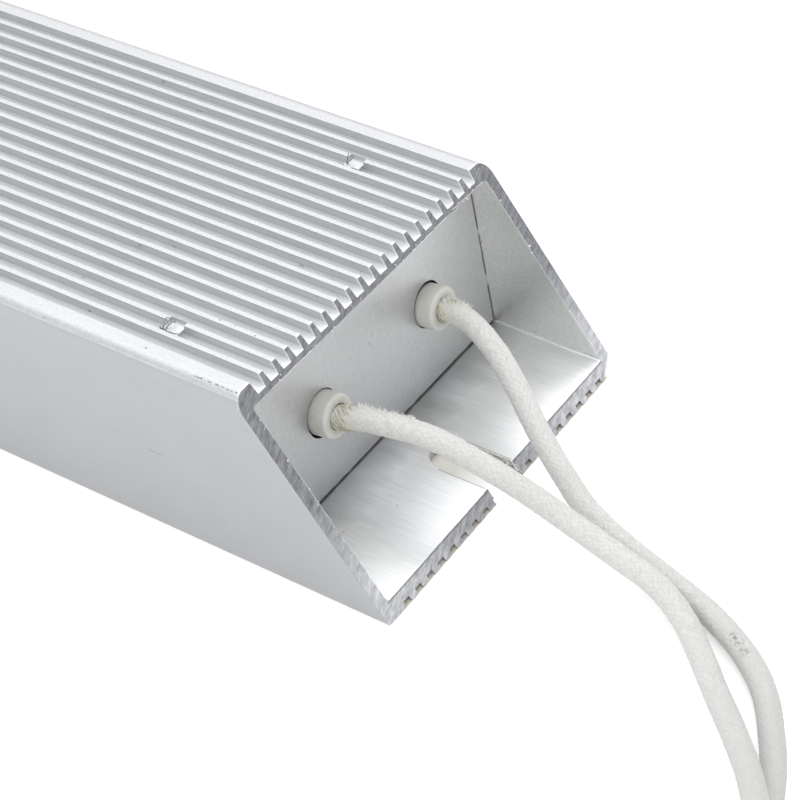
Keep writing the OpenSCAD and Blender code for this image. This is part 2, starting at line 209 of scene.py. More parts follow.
class Shader:
    """Short calls for placing and joining nodes in one tree."""

    def __init__(self, tree):
        self.tree = tree
        self.nodes = tree.nodes

    def node(self, kind, **settings):
        made = self.nodes.new(kind)
        for name, value in settings.items():
            setattr(made, name, value)
        return made

    def join(self, value, socket):
        if isinstance(value, bpy.types.NodeSocket):
            self.tree.links.new(value, socket)
        else:
            socket.default_value = value

    def math(self, operation, a, b=0.0, clamp=False):
        made = self.node("ShaderNodeMath", operation=operation, use_clamp=clamp)
        self.join(a, made.inputs[0])
        self.join(b, made.inputs[1])
        return made.outputs[0]

    def times(self, a, b, clamp=False):
        return self.math("MULTIPLY", a, b, clamp)

    def plus(self, a, b):
        return self.math("ADD", a, b)

    def minus(self, a, b):
        return self.math("SUBTRACT", a, b)

    def larger(self, a, b):
        return self.math("MAXIMUM", a, b)

    def above(self, a, b):
        return self.math("GREATER_THAN", a, b)

    def below(self, a, b):
        return self.math("LESS_THAN", a, b)

    def absolute(self, a):
        return self.math("ABSOLUTE", a)

    def vector(self, x, y, z=0.0):
        made = self.node("ShaderNodeCombineXYZ")
        for socket, value in zip(made.inputs, (x, y, z)):
            self.join(value, socket)
        return made.outputs[0]

    def stretch(self, vector, scale, turn=(0, 0, 0)):
        made = self.node("ShaderNodeMapping")
        self.join(vector, made.inputs["Vector"])
        made.inputs["Scale"].default_value = scale
        made.inputs["Rotation"].default_value = turn
        return made.outputs["Vector"]

    def noise(self, vector, scale, detail=3.0, roughness=0.55):
        made = self.node("ShaderNodeTexNoise")
        self.join(vector, made.inputs["Vector"])
        self.join(scale, made.inputs["Scale"])
        made.inputs["Detail"].default_value = detail
        made.inputs["Roughness"].default_value = roughness
        return made.outputs["Fac"]

    def between(self, value, low, high, out_low=0.0, out_high=1.0):
        made = self.node("ShaderNodeMapRange")
        self.join(value, made.inputs["Value"])
        for name, number in (("From Min", low), ("From Max", high),
                             ("To Min", out_low), ("To Max", out_high)):
            self.join(number, made.inputs[name])
        return made.outputs["Result"]

    def blend(self, factor, a, b):
        made = self.node("ShaderNodeMix", data_type="RGBA")
        self.join(factor, made.inputs["Factor"])
        for name, color in (("A", a), ("B", b)):
            self.join((*color, 1) if isinstance(color, tuple) else color, made.inputs[name])
        return made.outputs["Result"]

    def parts(self, vector):
        made = self.node("ShaderNodeSeparateXYZ")
        self.join(vector, made.inputs[0])
        return made.outputs

    def bump(self, height, distance, strength):
        made = self.node("ShaderNodeBump")
        made.inputs["Strength"].default_value = strength
        made.inputs["Distance"].default_value = distance
        self.join(height, made.inputs["Height"])
        return made.outputs["Normal"]

    def use(self, group, **values):
        made = self.node("ShaderNodeGroup", node_tree=group)
        for name, value in values.items():
            self.join(value, made.inputs[name.replace("_", " ").capitalize()])
        return made.outputs


def effect(name, inputs, outputs, build):
    """A shader node group that several materials share."""
    tree = bpy.data.node_groups.new(name, "ShaderNodeTree")
    for label, kind, default in inputs:
        socket = tree.interface.new_socket(label, in_out="INPUT", socket_type=kind)
        if default is not None:
            socket.default_value = default
    for label, kind in outputs:
        tree.interface.new_socket(label, in_out="OUTPUT", socket_type=kind)
    s = Shader(tree)
    given = s.node("NodeGroupInput").outputs
    result = s.node("NodeGroupOutput")
    for label, value in build(s, given).items():
        s.join(value, result.inputs[label])
    return tree


def material(name, color, metallic=0.0, roughness=0.5, **sockets):
    """A new material with a Principled shader; returns it, its builder and the shader."""
    made = bpy.data.materials.new(name)
    made.use_nodes = True
    s = Shader(made.node_tree)
    shader = s.nodes["Principled BSDF"]
    shader.inputs["Base Color"].default_value = (*color, 1)
    shader.inputs["Metallic"].default_value = metallic
    shader.inputs["Roughness"].default_value = roughness
    for label, value in sockets.items():
        shader.inputs[label.replace("_", " ")].default_value = value
    return made, s, shader


def object_coordinates(s):
    return s.node("ShaderNodeTexCoord").outputs["Object"]


# ---------------------------------------------------------------- shared effects


def build_grain(s, given):
    """Even fine grain, as on anodised, cast or pressed surfaces."""
    fine = s.noise(given["Vector"], given["Scale"], 4, 0.6)
    broad = s.noise(given["Vector"], s.times(given["Scale"], 0.06), 3, 0.5)
    shade = s.plus(s.times(fine, 0.5), s.times(broad, 0.5))
    return {"Height": fine, "Shade": shade}


def build_die_lines(s, given):
    """Long faint lines along X, as a die leaves on an extrusion."""
    broad = s.noise(s.stretch(given["Vector"], (6, 500, 500)), 1.0, 4, 0.6)
    fine = s.noise(s.stretch(given["Vector"], (180, 3800, 3800)), 1.0, 3, 0.6)
    height = s.plus(s.times(broad, 0.3), s.times(fine, 0.7))
    return {"Height": height, "Shade": height}


def build_scuffs(s, given):
    """Sparse dark nicks and short scratches."""
    drift = s.noise(given["Vector"], 60.0, 2)
    gate = s.between(drift, 0.50, 0.62)
    specks = s.noise(s.stretch(given["Vector"], (700, 1300, 1300)), 1.0, 2, 0.4)
    specks = s.between(specks, 0.70, 0.76)
    lines = s.noise(s.stretch(given["Vector"], (160, 2400, 2400), (0, 0, 0.35)), 1.0, 2, 0.4)
    lines = s.between(lines, 0.72, 0.80)
    mask = s.times(s.larger(specks, lines), gate)
    return {"Mask": s.times(mask, given["Amount"], clamp=True)}


def build_saw_marks(s, given):
    """Fine slanting hatch that a saw blade leaves on a sloping end, with torn blotches."""
    _, y, z = s.parts(given["Vector"])
    down = s.times(z, -SAW_FACE_STRETCH)
    cos, sin = math.cos(SAW_HATCH_ANGLE), math.sin(SAW_HATCH_ANGLE)
    along = s.minus(s.times(down, sin), s.times(y, cos))
    across = s.plus(s.times(down, cos), s.times(y, sin))
    coarse = s.noise(s.vector(s.times(along, 300.0), s.times(across, 1300.0)), 1.0, 3, 0.6)
    fine = s.noise(s.vector(s.times(along, 700.0), s.times(across, 5200.0)), 1.0, 2, 0.6)
    blotch = s.noise(given["Vector"], 1100.0, 4, 0.65)
    hatch = s.plus(s.times(coarse, 0.55), s.times(fine, 0.45))
    shade = s.plus(s.times(hatch, 0.78), s.times(blotch, 0.22))
    scratch = s.between(s.noise(s.vector(s.times(along, 260.0), s.times(across, 6500.0), 3.0), 1.0, 2,
                                0.5), 0.68, 0.74)
    return {"Height": shade, "Shade": shade, "Scratch": scratch}


def build_mottle(s, given):
    """Blotches and pores of a pressed, fired or cast material."""
    blotch = s.noise(given["Vector"], given["Scale"], 5, 0.6)
    pores = s.noise(given["Vector"], s.times(given["Scale"], 7.0), 2, 0.5)
    pores = s.between(pores, 0.62, 0.75)
    shade = s.minus(blotch, s.times(pores, 0.25))
    return {"Height": shade, "Shade": shade}


def spots(s, place, marks):
    """Mask of round spots at chosen (x, y, z, radius) in millimetres."""
    mask = 0.0
    for x, y, z, radius in marks:
        gap = s.node("ShaderNodeVectorMath", operation="DISTANCE")
        s.join(place, gap.inputs[0])
        s.join((x * MM, y * MM, z * MM), gap.inputs[1])
        near = s.between(gap.outputs["Value"], radius * 0.6 * MM, radius * MM, 1.0, 0.0)
        mask = s.larger(mask, near)
    return mask


VECTOR_IN = ("Vector", "NodeSocketVector", None)
HEIGHT_AND_SHADE = [("Height", "NodeSocketFloat"), ("Shade", "NodeSocketFloat")]
grain = effect("fine_grain", [VECTOR_IN, ("Scale", "NodeSocketFloat", 3000.0)],
               HEIGHT_AND_SHADE, build_grain)
die_lines = effect("die_lines", [VECTOR_IN], HEIGHT_AND_SHADE, build_die_lines)
scuffs = effect("scuffs", [VECTOR_IN, ("Amount", "NodeSocketFloat", 1.0)],
                [("Mask", "NodeSocketFloat")], build_scuffs)
saw_marks = effect("saw_marks", [VECTOR_IN],
                   HEIGHT_AND_SHADE + [("Scratch", "NodeSocketFloat")], build_saw_marks)
mottle = effect("mottle", [VECTOR_IN, ("Scale", "NodeSocketFloat", 400.0)],
                HEIGHT_AND_SHADE, build_mottle)


# ---------------------------------------------------------------- materials

SKIN_TONE = (0.60, 0.605, 0.62)
# Side faces: a darker copy of the skin tone, as painted shade
SIDE_PAINTED_SHADE_TONE = (0.44, 0.445, 0.455)
# Groove walls and floors: lighter than the skin, as painted light against their shade
GROOVE_WALL_PAINTED_LIGHT_TONE = (0.645, 0.67, 0.675)
GROOVE_FLOOR_PAINTED_LIGHT_TONE = (0.81, 0.82, 0.83)
MILL_TONE = (0.90, 0.91, 0.925)
WALL_TONE = (0.82, 0.83, 0.81)
SAWN_TONE = (0.285, 0.29, 0.31)
SAWN_TOE_PAINTED_LIGHT_TONE = (0.74, 0.75, 0.78)
SAWN_BASE_TONE = (0.60, 0.61, 0.635)
SAWN_SLOT_TONE = (0.41, 0.415, 0.44)
# Soiled fibres on the right lead: x, y, z and radius in millimetres
LEAD_SMUDGES = [(123.1, -11.4, 3.2, 0.9), (124.1, -12.0, 3.2, 0.8), (125.3, -12.9, 3.1, 1.0)]
BRAID_RIDGE_TONE = (0.83, 0.83, 0.82)
BRAID_GAP_PAINTED_SHADE_TONE = (0.71, 0.705, 0.685)
BRAID_BEIGE_TONE = (0.70, 0.68, 0.58)
# Painted shade low on the groove walls
GROOVE_PAINTED_SHADE_TONE = (0.50, 0.52, 0.525)
MILL_PAINTED_SHADE_TONE = (0.40, 0.41, 0.42)
SHADE_LINE_TONE = (0.12, 0.12, 0.13)
SCRATCH_TONE = (0.90, 0.91, 0.93)
SLOT_LIP_TONE = (0.16, 0.16, 0.16)
NICK_TONE = (0.18, 0.18, 0.17)
# Painted highlight on the groove ends and along the sawn edges
PAINTED_HIGHLIGHT_TONE = (0.97, 0.97, 0.98)
BURR_TONE = (0.93, 0.94, 0.95)
OUTER_EDGE_PAINTED_SHADE_TONE = (0.26, 0.265, 0.28)
PLATE_TONE = (0.54, 0.545, 0.55)
PLATE_BLOTCH_TONE = (0.50, 0.52, 0.54)
PLATE_NICK_TONE = (0.3, 0.3, 0.3)
HOLE_PAINTED_SHADE_TONE = (0.05, 0.05, 0.05)
BUSHING_TONE = (0.62, 0.622, 0.582)
BRAID_SOIL_TONE = (0.64, 0.62, 0.565)
BRAID_DARK_TONE = (0.50, 0.50, 0.48)
BRAID_FAR_TONE = (0.57, 0.565, 0.555)
BRAID_SMUDGE_TONE = (0.25, 0.245, 0.22)
FLOOR_TONE = (0.86, 0.86, 0.86)
FLOOR_PAINTED_SHADE_TONE = (0.60, 0.58, 0.51)


def shaded(s, shade, color, spread, reach=0.2):
    """A colour that a shade value makes darker or lighter, fully so `reach` away from 0.5."""
    dark = tuple(c * (1 - spread) for c in color)
    light = tuple(min(1.0, c * (1 + spread)) for c in color)
    return s.blend(s.between(shade, 0.5 - reach, 0.5 + reach), dark, light)


# Distance of the drag mark from the middle of the top
DRAG_MARK_Y = 28.5 * MM

# Small dark nicks on the top: x, y, z and radius in millimetres
TOP_NICKS = [
    (51.3, -9.8, 30, 0.16), (47.1, -11.7, 30, 0.2), (53.7, -8.2, 30, 0.14), (49.6, -18, 30, 0.2),
    (52.1, -18, 30, 0.16), (55.6, -18.3, 30, 0.18), (53.6, -20.2, 30, 0.16),
    (57.5, -25.7, 30, 0.16), (41.4, 8.1, 30, 0.2), (49.9, 3.7, 30, 0.18), (44.6, -27.4, 30, 0.2),
]


def housing_finish():
    """Anodised skin and grooves, milled inner faces, and bare metal where the saw cut, with painted
    light and shade on them.
    """
    made, s, shader = material("clear_anodised_aluminium", (0.8, 0.8, 0.8), metallic=0.85)
    place = object_coordinates(s)
    normal = s.node("ShaderNodeNewGeometry").outputs["True Normal"]
    nx, ny, nz = s.parts(normal)
    x, y, z = s.parts(place)
    far_x, far_y = s.absolute(x), s.absolute(y)
    facing = s.plus(s.times(s.absolute(nx), SLOPE.x), s.times(nz, SLOPE.z))
    sawn = s.above(facing, 0.985)
    burr = s.minus(s.above(facing, 0.83), sawn)
    burr = s.times(burr, s.above(far_x, TOP_EDGE_X - 1 * MM))
    # Outer and bottom edges of the sawn face: painted shade on their bevels, no painted highlight
    shaded_outer_edges = s.larger(s.above(far_y, HALF_WIDTH - 0.15 * MM), s.below(z, 0.15 * MM))
    shaded_outer_edges = s.larger(shaded_outer_edges, s.between(far_y, HALF_WIDTH - 1.6 * MM, HALF_WIDTH - 0.9 * MM, 0.0, 0.75))
    inside_span = s.below(far_y, HALF_WIDTH - SIDE_WALL + 0.05 * MM)
    inside = s.times(inside_span, s.above(z, FLOOR_WALL - 0.1 * MM))
    inside = s.times(inside, s.below(z, HEIGHT - TOP_WALL + 0.1 * MM))
    groove = s.times(s.below(z, HEIGHT - 0.1 * MM), s.above(z, HEIGHT - FIN_HEIGHT - 0.1 * MM))
    groove = s.times(groove, s.below(far_y, GROOVE_COUNT * GROOVE_PITCH / 2))
    lines = s.use(die_lines, vector=place)
    fine = s.use(grain, vector=place, scale=2600.0)
    marks = s.use(saw_marks, vector=place)
    nicks = s.use(scuffs, vector=place, amount=0.8)["Mask"]
    nicks = s.larger(nicks, spots(s, place, TOP_NICKS))
    dashes = s.noise(s.stretch(place, (2200, 3500, 3500)), 1.0, 3, 0.6)
    drag = s.times(s.between(s.absolute(s.plus(y, DRAG_MARK_Y)), 0.08 * MM, 0.18 * MM, 1.0, 0.0),
                   s.between(dashes, 0.48, 0.53))
    drag = s.times(drag, s.between(x, 51 * MM, 54 * MM))
    nicks = s.larger(nicks, s.times(drag, s.above(z, HEIGHT - 2 * MM)))
    wall = s.above(s.absolute(ny), 0.7)
    level = s.times(s.above(nz, 0.9), s.below(z, HEIGHT - FIN_HEIGHT + 0.2 * MM))
    # Painted shade: faces turned to the sides get the darker side tone instead of the skin tone
    skin = s.blend(wall, shaded(s, fine["Height"], SKIN_TONE, 0.10),
                   shaded(s, fine["Shade"], SIDE_PAINTED_SHADE_TONE, 0.05))
    # Painted light and shade in the grooves: lighter walls and floors, a painted shade band low on the
    # walls, the lowest part lightened to the floor tone
    groove_wall = shaded(s, lines["Shade"], GROOVE_WALL_PAINTED_LIGHT_TONE, 0.10)
    above_floor = s.minus(z, HEIGHT - FIN_HEIGHT)
    groove_wall = s.blend(s.between(above_floor, 0.5 * MM, 0.8 * MM, 0.5, 0.0), groove_wall,
                          GROOVE_PAINTED_SHADE_TONE)
    groove_wall = s.blend(s.between(above_floor, 0.3 * MM, 0.45 * MM, 1.0, 0.0), groove_wall,
                          GROOVE_FLOOR_PAINTED_LIGHT_TONE)
    groove_tone = s.blend(level, groove_wall, shaded(s, fine["Shade"], GROOVE_FLOOR_PAINTED_LIGHT_TONE, 0.05))
    skin = s.blend(groove, skin, groove_tone)
    # Painted highlights: groove floors brightened near the sawn end (lit_end), and a bright line on the
    # faces along the sawn edge, kept off the outer edges (rim)
    from_end = s.minus(s.plus(TOP_EDGE_X, s.times(s.minus(HEIGHT, z), END_OVERHANG / HEIGHT)), far_x)
    lit_end = s.times(s.times(groove, level), s.between(from_end, 0.5 * MM, 2.2 * MM, 0.6, 0.0))
    rim = s.larger(lit_end, s.between(from_end, 0.15 * MM, 0.35 * MM, 0.7, 0.0))
    rim = s.times(rim, s.minus(1.0, shaded_outer_edges))
    mill = shaded(s, lines["Shade"], MILL_TONE, 0.09)
    # Painted shade: the milled floor darkened near the plate, with a ragged border
    patchy = s.noise(s.stretch(place, (60, 170, 170)), 1.0, 3, 0.6)
    reach_x = s.plus(far_x, s.between(patchy, 0.3, 0.7, -1.5 * MM, 1.5 * MM))
    painted_shade_near_plate = s.between(reach_x, TOP_EDGE_X + 2.5 * MM, TOP_EDGE_X + 8 * MM, 0.9, 0.0)
    mill = s.blend(painted_shade_near_plate, mill, MILL_PAINTED_SHADE_TONE)
    mill = s.blend(wall, mill, shaded(s, fine["Height"], WALL_TONE, 0.10))
    # Painted light: the sawn face lighter towards its foot
    near_toe = s.between(z, 2 * MM, 16 * MM, 1.0, 0.0)
    bare = s.blend(near_toe, shaded(s, marks["Shade"], SAWN_TONE, 0.36, 0.11),
                   shaded(s, marks["Shade"], SAWN_TOE_PAINTED_LIGHT_TONE, 0.2, 0.11))
    base_face = s.times(s.between(z, FLOOR_WALL, FLOOR_WALL + 2 * MM, 1.0, 0.0),
                        s.between(far_y, HALF_WIDTH - 1 * MM, HALF_WIDTH, 1.0, 0.6))
    base_bare = s.blend(s.between(far_y, 4 * MM, 22 * MM),
                        shaded(s, marks["Shade"], SAWN_SLOT_TONE, 0.35, 0.1),
                        shaded(s, marks["Shade"], SAWN_BASE_TONE, 0.3, 0.1))
    bare = s.blend(base_face, bare, base_bare)
    # Painted shade: a dark line on the sawn face just under the inner floor's edge
    shade_line = s.between(s.absolute(s.minus(z, FLOOR_WALL - 0.18 * MM)), 0.05 * MM, 0.12 * MM, 0.6,
                           0.0)
    shade_line = s.times(shade_line, inside_span)
    bare = s.blend(shade_line, bare, SHADE_LINE_TONE)
    bare = s.blend(s.times(marks["Scratch"], 0.7), bare, SCRATCH_TONE)
    color = s.blend(inside, skin, mill)
    lip = s.between(s.absolute(s.minus(far_y, SLOT_WIDTH / 2 + 0.2 * MM)), 0.05 * MM, 0.12 * MM, 0.6,
                    0.0)
    lip = s.times(lip, s.above(far_x, FOOT_X - 9.5 * MM))
    color = s.blend(s.times(lip, inside), color, SLOT_LIP_TONE)
    color = s.blend(s.times(nicks, 0.8), color, NICK_TONE)
    color = s.blend(rim, color, PAINTED_HIGHLIGHT_TONE)
    color = s.blend(sawn, color, bare)
    # Bevels next to the sawn face: bright burr tone inside, painted shade on the outer and bottom edges
    burr_and_edge_shade_tone = s.blend(shaded_outer_edges, BURR_TONE, OUTER_EDGE_PAINTED_SHADE_TONE)
    color = s.blend(burr, color, burr_and_edge_shade_tone)
    s.join(color, shader.inputs["Base Color"])
    rough = s.between(fine["Shade"], 0.3, 0.7, 0.40, 0.50)
    rough_inside = s.between(lines["Shade"], 0.3, 0.7, 0.28, 0.42)
    rough = s.plus(s.times(rough, s.minus(1.0, inside)), s.times(rough_inside, inside))
    rough = s.larger(rough, s.times(sawn, 0.46))
    s.join(rough, shader.inputs["Roughness"])
    relief = s.plus(s.times(lines["Height"], 0.35), s.times(fine["Height"], 0.4))
    relief = s.plus(s.times(relief, s.minus(1.0, sawn)), s.times(s.times(marks["Height"], sawn), 2.2))
    s.join(s.bump(relief, 0.02 * MM, 0.6), shader.inputs["Normal"])
    return made


def plate_finish():
    """Satin sheet metal, with painted shade on the walls of the lead holes."""
    made, s, shader = material("satin_sheet", (0.6, 0.62, 0.62), metallic=0.85)
    place = object_coordinates(s)
    fine = s.use(grain, vector=place, scale=2200.0)
    nicks = s.use(scuffs, vector=place, amount=0.5)["Mask"]
    broad = s.noise(s.stretch(place, (900, 900, 420)), 1.0, 4, 0.65)
    color = shaded(s, fine["Height"], PLATE_TONE, 0.09)
    color = s.blend(s.between(broad, 0.4, 0.65, 0.0, 0.35), color, PLATE_BLOTCH_TONE)
    color = s.blend(nicks, color, PLATE_NICK_TONE)
    nx, _, nz = s.parts(s.node("ShaderNodeNewGeometry").outputs["True Normal"])
    _, y, z = s.parts(place)
    facing = s.plus(s.times(s.absolute(nx), math.cos(PLATE_LEAN)), s.times(nz, math.sin(PLATE_LEAN)))
    # Painted shade: the walls of the lead holes near black
    hole_wall = s.times(s.below(facing, 0.5), s.below(s.absolute(y), HALF_WIDTH - SIDE_WALL - 1 * MM))
    hole_wall = s.times(hole_wall, s.above(z, FLOOR_WALL + 1 * MM))
    color = s.blend(hole_wall, color, HOLE_PAINTED_SHADE_TONE)
    s.join(color, shader.inputs["Base Color"])
    s.join(s.between(fine["Shade"], 0.3, 0.7, 0.34, 0.46), shader.inputs["Roughness"])
    s.join(s.bump(fine["Height"], 0.015 * MM, 0.6), shader.inputs["Normal"])
    return made


def bushing_finish():
    """Pale ceramic that lets a little light in, with painted shade where it lies behind the plate."""
    made, s, shader = material("bushing_ceramic", (0.6, 0.6, 0.57), roughness=0.55,
                               Subsurface_Weight=0.85, Subsurface_Scale=0.0025)
    shader.inputs["Subsurface Radius"].default_value = (1.0, 0.95, 0.85)
    fine = s.use(mottle, vector=object_coordinates(s), scale=500.0)
    x, _, z = s.parts(object_coordinates(s))
    middle = hole_frame(1).translation
    depth = s.plus(s.times(s.minus(x, middle.x), math.cos(PLATE_LEAN)),
                   s.times(s.minus(z, middle.z), math.sin(PLATE_LEAN)))
    color = shaded(s, fine["Shade"], BUSHING_TONE, 0.05)
    # Painted shade: near black where the bushing lies behind the plate's front face
    color = s.blend(s.between(depth, -0.2 * MM, -0.05 * MM, 1.0, 0.0), color, HOLE_PAINTED_SHADE_TONE)
    s.join(color, shader.inputs["Base Color"])
    s.join(s.bump(fine["Height"], 0.02 * MM, 0.4), shader.inputs["Normal"])
    return made


def braid_finish():
    """Glass-fibre sleeve: its own UV runs round the tube and along it, from 0 to 1."""
    made, s, shader = material("glass_fibre_braid", BRAID_RIDGE_TONE, roughness=0.75,
                               Sheen_Weight=0.25, Sheen_Roughness=0.5)
    place = object_coordinates(s)
    u, v, _ = s.parts(s.node("ShaderNodeUVMap", uv_map="weave").outputs["UV"])
    around = s.times(u, WEAVE_CARRIERS)
    along = s.times(v, LEAD_LENGTH / WEAVE_LAY)
    a, b = s.plus(around, along), s.minus(around, along)
    first = s.noise(s.vector(s.times(a, 2.4), s.times(b, 0.55)), 1.0, 3, 0.7)
    second = s.noise(s.vector(s.times(b, 2.4), s.times(a, 0.55), 5.0), 1.0, 3, 0.7)
    over = s.node("ShaderNodeAttribute", attribute_name="weave_over").outputs["Fac"]
    depth = s.node("ShaderNodeAttribute", attribute_name="weave_depth").outputs["Fac"]
    fibre = s.plus(s.times(first, over), s.times(second, s.minus(1.0, over)))
    soil = s.noise(place, 90.0, 4, 0.6)
    # Painted shade: the braid darker where its surface lies low between the ridges
    color = s.blend(depth, BRAID_GAP_PAINTED_SHADE_TONE, BRAID_RIDGE_TONE)
    color = s.blend(s.between(soil, 0.52, 0.75, 0.0, 0.3), color, BRAID_SOIL_TONE)
    color = s.blend(s.between(fibre, 0.38, 0.56, 0.45, 0.0), color, BRAID_DARK_TONE)
    stain = s.times(s.between(v, 0.012, 0.045, 1.0, 0.0), s.between(fibre, 0.4, 0.6, 0.9, 0.2))
    color = s.blend(stain, color, BRAID_BEIGE_TONE)
    # The braid is darker along its far part
    far_darkening = s.between(v, 0.30, 0.58, 0.0, 0.75)
    color = s.blend(far_darkening, color, BRAID_FAR_TONE)
    flecks = s.between(s.noise(place, 1500.0, 3, 0.65), 0.47, 0.60, 0.08, 0.9)
    smudge = s.times(spots(s, place, LEAD_SMUDGES), flecks)
    color = s.blend(smudge, color, BRAID_SMUDGE_TONE)
    s.join(color, shader.inputs["Base Color"])
    s.join(s.bump(fibre, 0.25 * MM, 0.9), shader.inputs["Normal"])
    return made


def plain_finish(name, color, spread, scale, metallic=0.0, roughness=0.5, relief=0.03):
    """A material of one colour that blotches, pores or grain break up."""
    made, s, shader = material(name, color, metallic=metallic)
    fine = s.use(mottle, vector=object_coordinates(s), scale=scale)
    s.join(shaded(s, fine["Shade"], color, spread), shader.inputs["Base Color"])
    rough = s.between(fine["Shade"], 0.3, 0.7, roughness - 0.06, roughness + 0.06)
    s.join(rough, shader.inputs["Roughness"])
    s.join(s.bump(fine["Height"], relief * MM, 0.5), shader.inputs["Normal"])
    return made


anodised = housing_finish()
satin_sheet = plate_finish()
bushing_ceramic = bushing_finish()
braid = braid_finish()
tin = plain_finish("tin_plating", (0.60, 0.595, 0.585), 0.10, 500.0, 1.0, 0.40)
loose_fibre = plain_finish("loose_glass_fibre", (0.86, 0.86, 0.84), 0.04, 900.0, 0.0, 0.7)
bare_fibre = plain_finish("bare_glass_fibre", (0.58, 0.56, 0.45), 0.35, 1500.0, 0.0, 0.7)
# Dark tone of the stake slivers, painting their shade
shaded_sliver_metal = plain_finish("sliver_metal_painted_shade", (0.34, 0.34, 0.35), 0.2, 900.0, 0.8, 0.45)
bright_burr = plain_finish("bright_burr", (0.92, 0.93, 0.94), 0.06, 900.0, 0.7, 0.4)
swarf = plain_finish("packed_swarf", (0.60, 0.60, 0.55), 0.45, 1500.0, 0.4, 0.6)


# ---------------------------------------------------------------- pieces


def piece_from(bm, name, finish, node=None, smooth_angle=35):
    """Makes an object of a bmesh, smooth up to an angle, that rides on the part."""
    mesh = bpy.data.meshes.new(name)
    bm.to_mesh(mesh)
    bm.free()
    mesh.polygons.foreach_set("use_smooth", [True] * len(mesh.polygons))
    mesh.set_sharp_from_angle(angle=math.radians(smooth_angle))
    made = bpy.data.objects.new(name, mesh)
    bpy.context.scene.collection.objects.link(made)
    made.data.materials.append(finish)
    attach(made, "root")
    if node:
        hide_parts(node)
    return made


def spin_profile(profile, steps):
    """A closed solid of revolution about Z from (radius, height) corners."""
    bm = bmesh.new()
    corners = [bm.verts.new((r, 0, h)) for r, h in profile]
    edges = [bm.edges.new((a, b)) for a, b in zip(corners, corners[1:] + corners[:1])]
    bmesh.ops.spin(bm, geom=corners + edges, cent=(0, 0, 0), axis=(0, 0, 1),
                   angle=2 * math.pi, steps=steps, use_merge=True)
    bmesh.ops.remove_doubles(bm, verts=bm.verts, dist=0.001 * MM)
    bmesh.ops.recalc_face_normals(bm, faces=bm.faces)
    return bm


def round_edges(bm, chosen, offset, segments):
    """Rounds the chosen edges."""
    bmesh.ops.bevel(bm, geom=chosen, offset=offset, offset_type="OFFSET", segments=segments,
                    profile=0.5, affect="EDGES", clamp_overlap=True, material=-1)


def ring_edges(bm, radius, height):
    """Edges of a turned shape that lie at one radius and height."""
    found = []
    for edge in bm.edges:
        ends = [v.co for v in edge.verts]
        if all(abs(math.hypot(c.x, c.y) - radius) < 0.02 * MM and abs(c.z - height) < 0.02 * MM
               for c in ends):
            found.append(edge)
    return found


def shear_edges(bm):
    """Uneven outline of a sheared plate at its sides, its foot and the lead holes."""
    half = max(v.co.y for v in bm.verts)
    foot = min(v.co.z for v in bm.verts)
    rim = [e for e in bm.edges if e.calc_length() > 4 * MM
           and (all(abs(v.co.y) > half - 0.1 * MM for v in e.verts)
                or all(v.co.z < foot + 0.4 * MM for v in e.verts))]
    bmesh.ops.subdivide_edges(bm, edges=rim, cuts=90)
    for vert in bm.verts:
        x, y, z = vert.co
        ragged = noise.noise(Vector((x, y, z)) * 1500)
        smeared = 3 * noise.noise(Vector((7, y, z)) * 420) + ragged
        if abs(y) > half - 0.1 * MM:
            closed = min(1, max(0, smeared))
            vert.co.y += math.copysign(SIDE_SEAM * closed + 0.05 * MM * ragged, y)
        if z < foot + 0.4 * MM:
            closed = min(1, max(0, smeared - 0.7))
            vert.co.z -= FOOT_SEAM * closed - 0.12 * MM * (1 - closed) - 0.05 * MM * ragged
        for side, wide in ((-1, Vector((0, -0.2, -1))), (1, Vector((0, -0.1, 1)))):
            middle = hole_frame(side).translation
            out = Vector((0, y - middle.y, z - middle.z))
            if x > 0 and out.length < HOLE_EDGE:
                vert.co += out.normalized() * HOLE_GAP * max(0, out.normalized().dot(wide)) ** 2


def softened_copy(node, name, finish, radius, sheared=False):
    """The node's own shape with its sharp edges slightly rounded, or unevenly sheared."""
    bm = bmesh.new()
    bm.from_mesh(frame["nodes"][node].data)
    bmesh.ops.remove_doubles(bm, verts=bm.verts, dist=0.002 * MM)
    bmesh.ops.dissolve_limit(bm, angle_limit=math.radians(0.5), verts=bm.verts, edges=bm.edges)
    sharp = [e for e in bm.edges if e.is_manifold and e.calc_face_angle() > math.radians(28)]
    round_edges(bm, sharp, radius, 2)
    if sheared:
        shear_edges(bm)
    made = piece_from(bm, name, finish, node, 30)
    even = made.modifiers.new("even_normals", "WEIGHTED_NORMAL")
    even.keep_sharp = True
    return made


def bushing(side, name, node):
    """Turned ceramic bushing with a rounded rim and a shoulder behind the plate."""
    back = -PLATE_THICKNESS - SHOULDER_THICKNESS
    bm = spin_profile([
        (BUSHING_BORE_RADIUS, back), (SHOULDER_RADIUS, back),
        (SHOULDER_RADIUS, -PLATE_THICKNESS), (BUSHING_RADIUS, -PLATE_THICKNESS),
        (BUSHING_RADIUS, BUSHING_REACH), (BUSHING_BORE_RADIUS, BUSHING_REACH)], 72)
    round_edges(bm, ring_edges(bm, BUSHING_RADIUS, BUSHING_REACH), 0.45 * MM, 6)
    round_edges(bm, ring_edges(bm, BUSHING_BORE_RADIUS, BUSHING_REACH), 0.25 * MM, 4)
    bmesh.ops.transform(bm, matrix=hole_frame(side), verts=bm.verts)
    return piece_from(bm, name, bushing_ceramic, node, 50)


